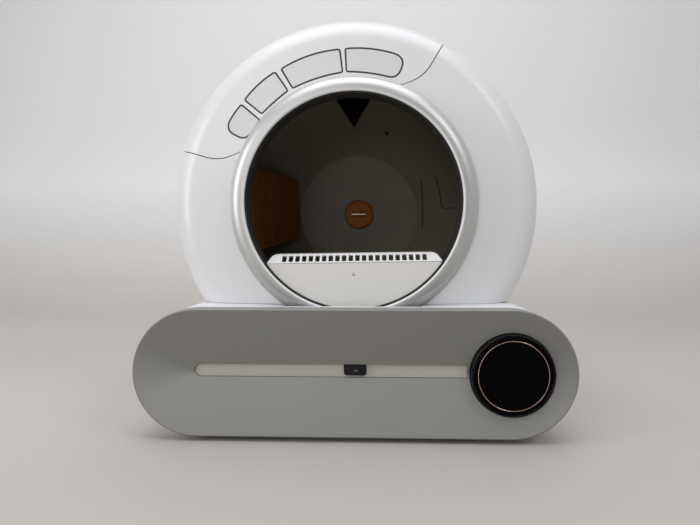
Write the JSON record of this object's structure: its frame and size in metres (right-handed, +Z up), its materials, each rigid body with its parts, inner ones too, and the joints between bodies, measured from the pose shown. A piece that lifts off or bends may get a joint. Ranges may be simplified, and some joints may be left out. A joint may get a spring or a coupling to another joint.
{
  "type": "self cleaning litter box",
  "caption": "Round motor-driven litter drum in a white housing with a ringed entrance and a slotted step, on a wide base with a slide-out waste drawer and a touch control disc.",
  "frame": {"origin": "middle of the footprint on the ground, under the centre of the bounding box", "axes": "+Z up, +X to the right seen from the front, -Y out of the front, so the drum turns about an axis along Y"},
  "size_m": [0.53, 0.47, 0.534],
  "materials": {
    "white_plastic": "satin white moulding",
    "step_plastic": "satin warm white moulding",
    "pearl_silver": "pearl silver lacquer",
    "grey_plastic": "fine matt grey",
    "drum_plastic": "smooth dark grey",
    "sieve_plastic": "satin orange",
    "black_plastic": "gloss black",
    "black_glass": "polished black",
    "copper": "polished copper tone",
    "steel": "plain steel",
    "rubber": "matt black rubber",
    "nylon": "natural nylon",
    "diffuser": "frosted light strip",
    "board_green": "solder mask"
  },
  "bodies": {
    "base": {"base_tray": "white_plastic", "base_cover": "white_plastic", "foot_front_left": "rubber", "foot_front_right": "rubber", "foot_rear_left": "rubber", "foot_rear_right": "rubber", "load_cell_front_left": "steel", "load_cell_front_right": "steel", "load_cell_rear_left": "steel", "load_cell_rear_right": "steel", "roller_bracket_left": "grey_plastic", "roller_bracket_right": "grey_plastic", "roller_axle_left": "steel", "roller_axle_right": "steel", "housing_front": "white_plastic", "housing_rear": "white_plastic", "entry_ring": "pearl_silver", "rear_bush": "nylon", "motor_bracket": "steel", "gearbox": "steel", "drive_motor": "steel", "pod_housing": "black_plastic", "touch_glass": "black_glass", "copper_line": "copper", "display_board": "board_green", "main_board": "board_green", "power_inlet": "black_plastic"},
    "drum": {"drum_front": "drum_plastic", "drum_shell": "drum_plastic", "drum_rear": "drum_plastic", "drum_gear": "nylon", "drum_axle": "steel", "hub_cap": "sieve_plastic", "sieve": "sieve_plastic", "step": "step_plastic", "step_grille": "step_plastic"},
    "waste_drawer": {"drawer_front": "grey_plastic", "light_strip": "diffuser", "sensor_window": "black_glass", "sensor_board": "board_green", "drawer_frame": "grey_plastic", "waste_bin": "grey_plastic", "bag_ring": "white_plastic"},
    "cover": {"top_cover": "white_plastic"},
    "pinion": {"drive_pinion": "nylon"},
    "left_roller": {"roller_left": "nylon"},
    "right_roller": {"roller_right": "nylon"}
  },
  "joints": [
    {"name": "drum_spin", "type": "hinge", "parent": "base", "child": "drum", "pos_m": [0, 0, 0.289], "axis": [0, 1, 0], "continuous": true},
    {"name": "pinion_spin", "type": "hinge", "parent": "base", "child": "pinion", "pos_m": [0.09546, 0, 0.19354], "axis": [0, 1, 0], "continuous": true},
    {"name": "roller_left_spin", "type": "hinge", "parent": "base", "child": "left_roller", "pos_m": [-0.13378, 0, 0.11777], "axis": [0, 1, 0], "continuous": true},
    {"name": "roller_right_spin", "type": "hinge", "parent": "base", "child": "right_roller", "pos_m": [0.13378, 0, 0.11777], "axis": [0, 1, 0], "continuous": true},
    {"name": "drawer_slide", "type": "slide", "parent": "base", "child": "waste_drawer", "axis": [0, -1, 0], "range_m": [0, 0.32]},
    {"name": "cover_lift", "type": "slide", "parent": "base", "child": "cover", "axis": [-0.3624, 0, 0.932], "range_m": [0, 0.12]}
  ],
  "couplings": [
    {"joint": "pinion_spin", "follows": "drum_spin", "ratio": -5},
    {"joint": "roller_left_spin", "follows": "drum_spin", "ratio": -17.083},
    {"joint": "roller_right_spin", "follows": "drum_spin", "ratio": -17.083}
  ]
}
